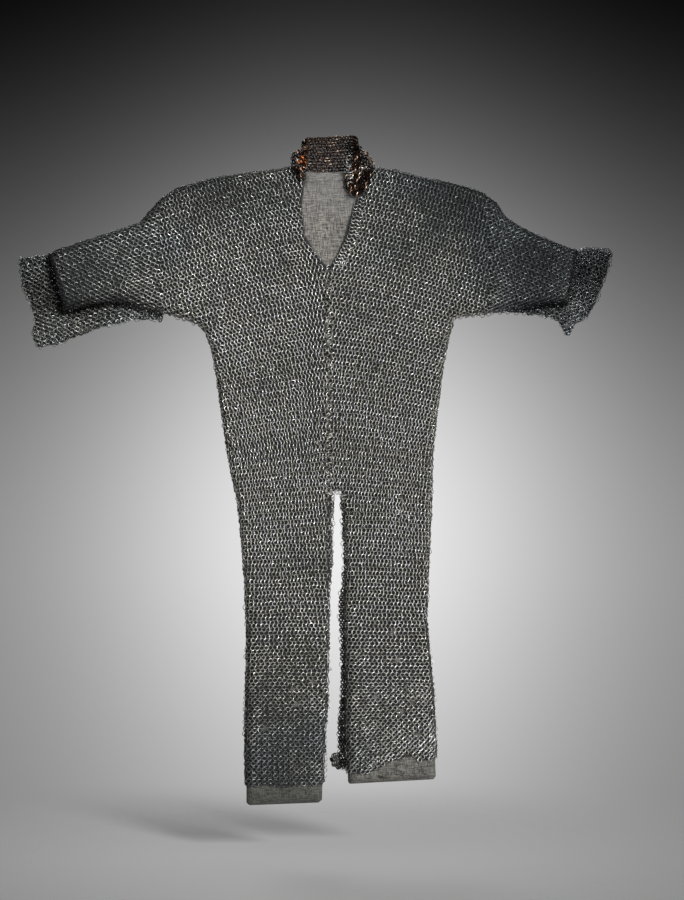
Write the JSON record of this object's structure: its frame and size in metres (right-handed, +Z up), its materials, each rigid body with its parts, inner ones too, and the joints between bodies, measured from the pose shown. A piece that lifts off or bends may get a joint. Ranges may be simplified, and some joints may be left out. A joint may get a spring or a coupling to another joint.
{
  "type": "mail suit on a display form",
  "caption": "Full suit of riveted-style mail with short sleeves, trouser legs, open neck and standing collar, over a flat linen-covered padded form that hangs by a cleat.",
  "frame": {"origin": "middle of the wall face of the hanging cleat, behind the shoulders", "axes": "+Z up, from the hems to the collar; +Y from the chest to the wall; +X to the wearer's left"},
  "size_m": [1.256, 0.0641, 1.4116],
  "materials": {
    "mail": "dull grey patina",
    "large_rings": "darker, larger rings",
    "collar_mail": "brown, rusty patina",
    "leather": "dry thong",
    "linen": "plain weave",
    "wadding": "felted cotton",
    "plywood": "sanded",
    "beech": "turned",
    "zinc": "zinc plated"
  },
  "bodies": {
    "suit_on_form": {"back_mail": "mail", "right_front_mail": "mail", "left_front_mail": "mail", "right_sleeve_mail": "mail", "left_sleeve_mail": "mail", "right_leg_mail": "mail", "left_leg_mail": "mail", "front_closure": "large_rings", "collar_band": "collar_mail", "collar_thong_01": "leather", "collar_thong_02": "leather", "collar_thong_03": "leather", "collar_thong_04": "leather", "collar_thong_05": "leather", "collar_thong_06": "leather", "collar_thong_07": "leather", "collar_thong_08": "leather", "collar_thong_09": "leather", "collar_thong_10": "leather", "collar_thong_11": "leather", "collar_thong_12": "leather", "body_linen_cover": "linen", "body_padding": "wadding", "body_board": "plywood", "right_arm_linen_cover": "linen", "right_arm_padding": "wadding", "right_arm_board": "plywood", "left_arm_linen_cover": "linen", "left_arm_padding": "wadding", "left_arm_board": "plywood", "right_leg_linen_cover": "linen", "right_leg_padding": "wadding", "right_leg_board": "plywood", "left_leg_linen_cover": "linen", "left_leg_padding": "wadding", "left_leg_board": "plywood", "right_arm_dowel_upper": "beech", "right_arm_dowel_lower": "beech", "left_arm_dowel_upper": "beech", "left_arm_dowel_lower": "beech", "right_leg_dowel_outer": "beech", "right_leg_dowel_inner": "beech", "left_leg_dowel_outer": "beech", "left_leg_dowel_inner": "beech", "hanging_cleat": "plywood", "cleat_screw_1": "zinc", "cleat_screw_2": "zinc", "cleat_screw_3": "zinc", "cleat_screw_4": "zinc"},
    "right_cuff_flap": {"right_cuff": "mail"},
    "left_cuff_flap": {"left_cuff": "mail"},
    "right_collar_end": {"right_collar_lappet": "collar_mail"},
    "left_collar_end": {"left_collar_lappet": "collar_mail"},
    "tongue": {"hem_tongue": "mail"}
  },
  "joints": [
    {"name": "right_cuff_fold", "type": "hinge", "parent": "suit_on_form", "child": "right_cuff_flap", "pos_m": [-0.59343, -0.0293, -0.03238], "axis": [-0.2465, 0, 0.9691], "range_deg": [0, 80]},
    {"name": "left_cuff_fold", "type": "hinge", "parent": "suit_on_form", "child": "left_cuff_flap", "pos_m": [0.52051, -0.0293, -0.02402], "axis": [-0.1814, 0, -0.9834], "range_deg": [0, 80]},
    {"name": "right_collar_end_lift", "type": "hinge", "parent": "suit_on_form", "child": "right_collar_end", "pos_m": [-0.082, -0.0591, 0.1886], "axis": [-1, 0, 0], "range_deg": [0, 100]},
    {"name": "left_collar_end_lift", "type": "hinge", "parent": "suit_on_form", "child": "left_collar_end", "pos_m": [0.093, -0.0591, 0.1966], "axis": [-1, 0, 0], "range_deg": [0, 100]},
    {"name": "hem_tongue_fold", "type": "hinge", "parent": "suit_on_form", "child": "tongue", "pos_m": [0.01999, -0.0193, -1.11266], "axis": [-0.0764, 0, 0.9971], "range_deg": [0, 85]}
  ]
}
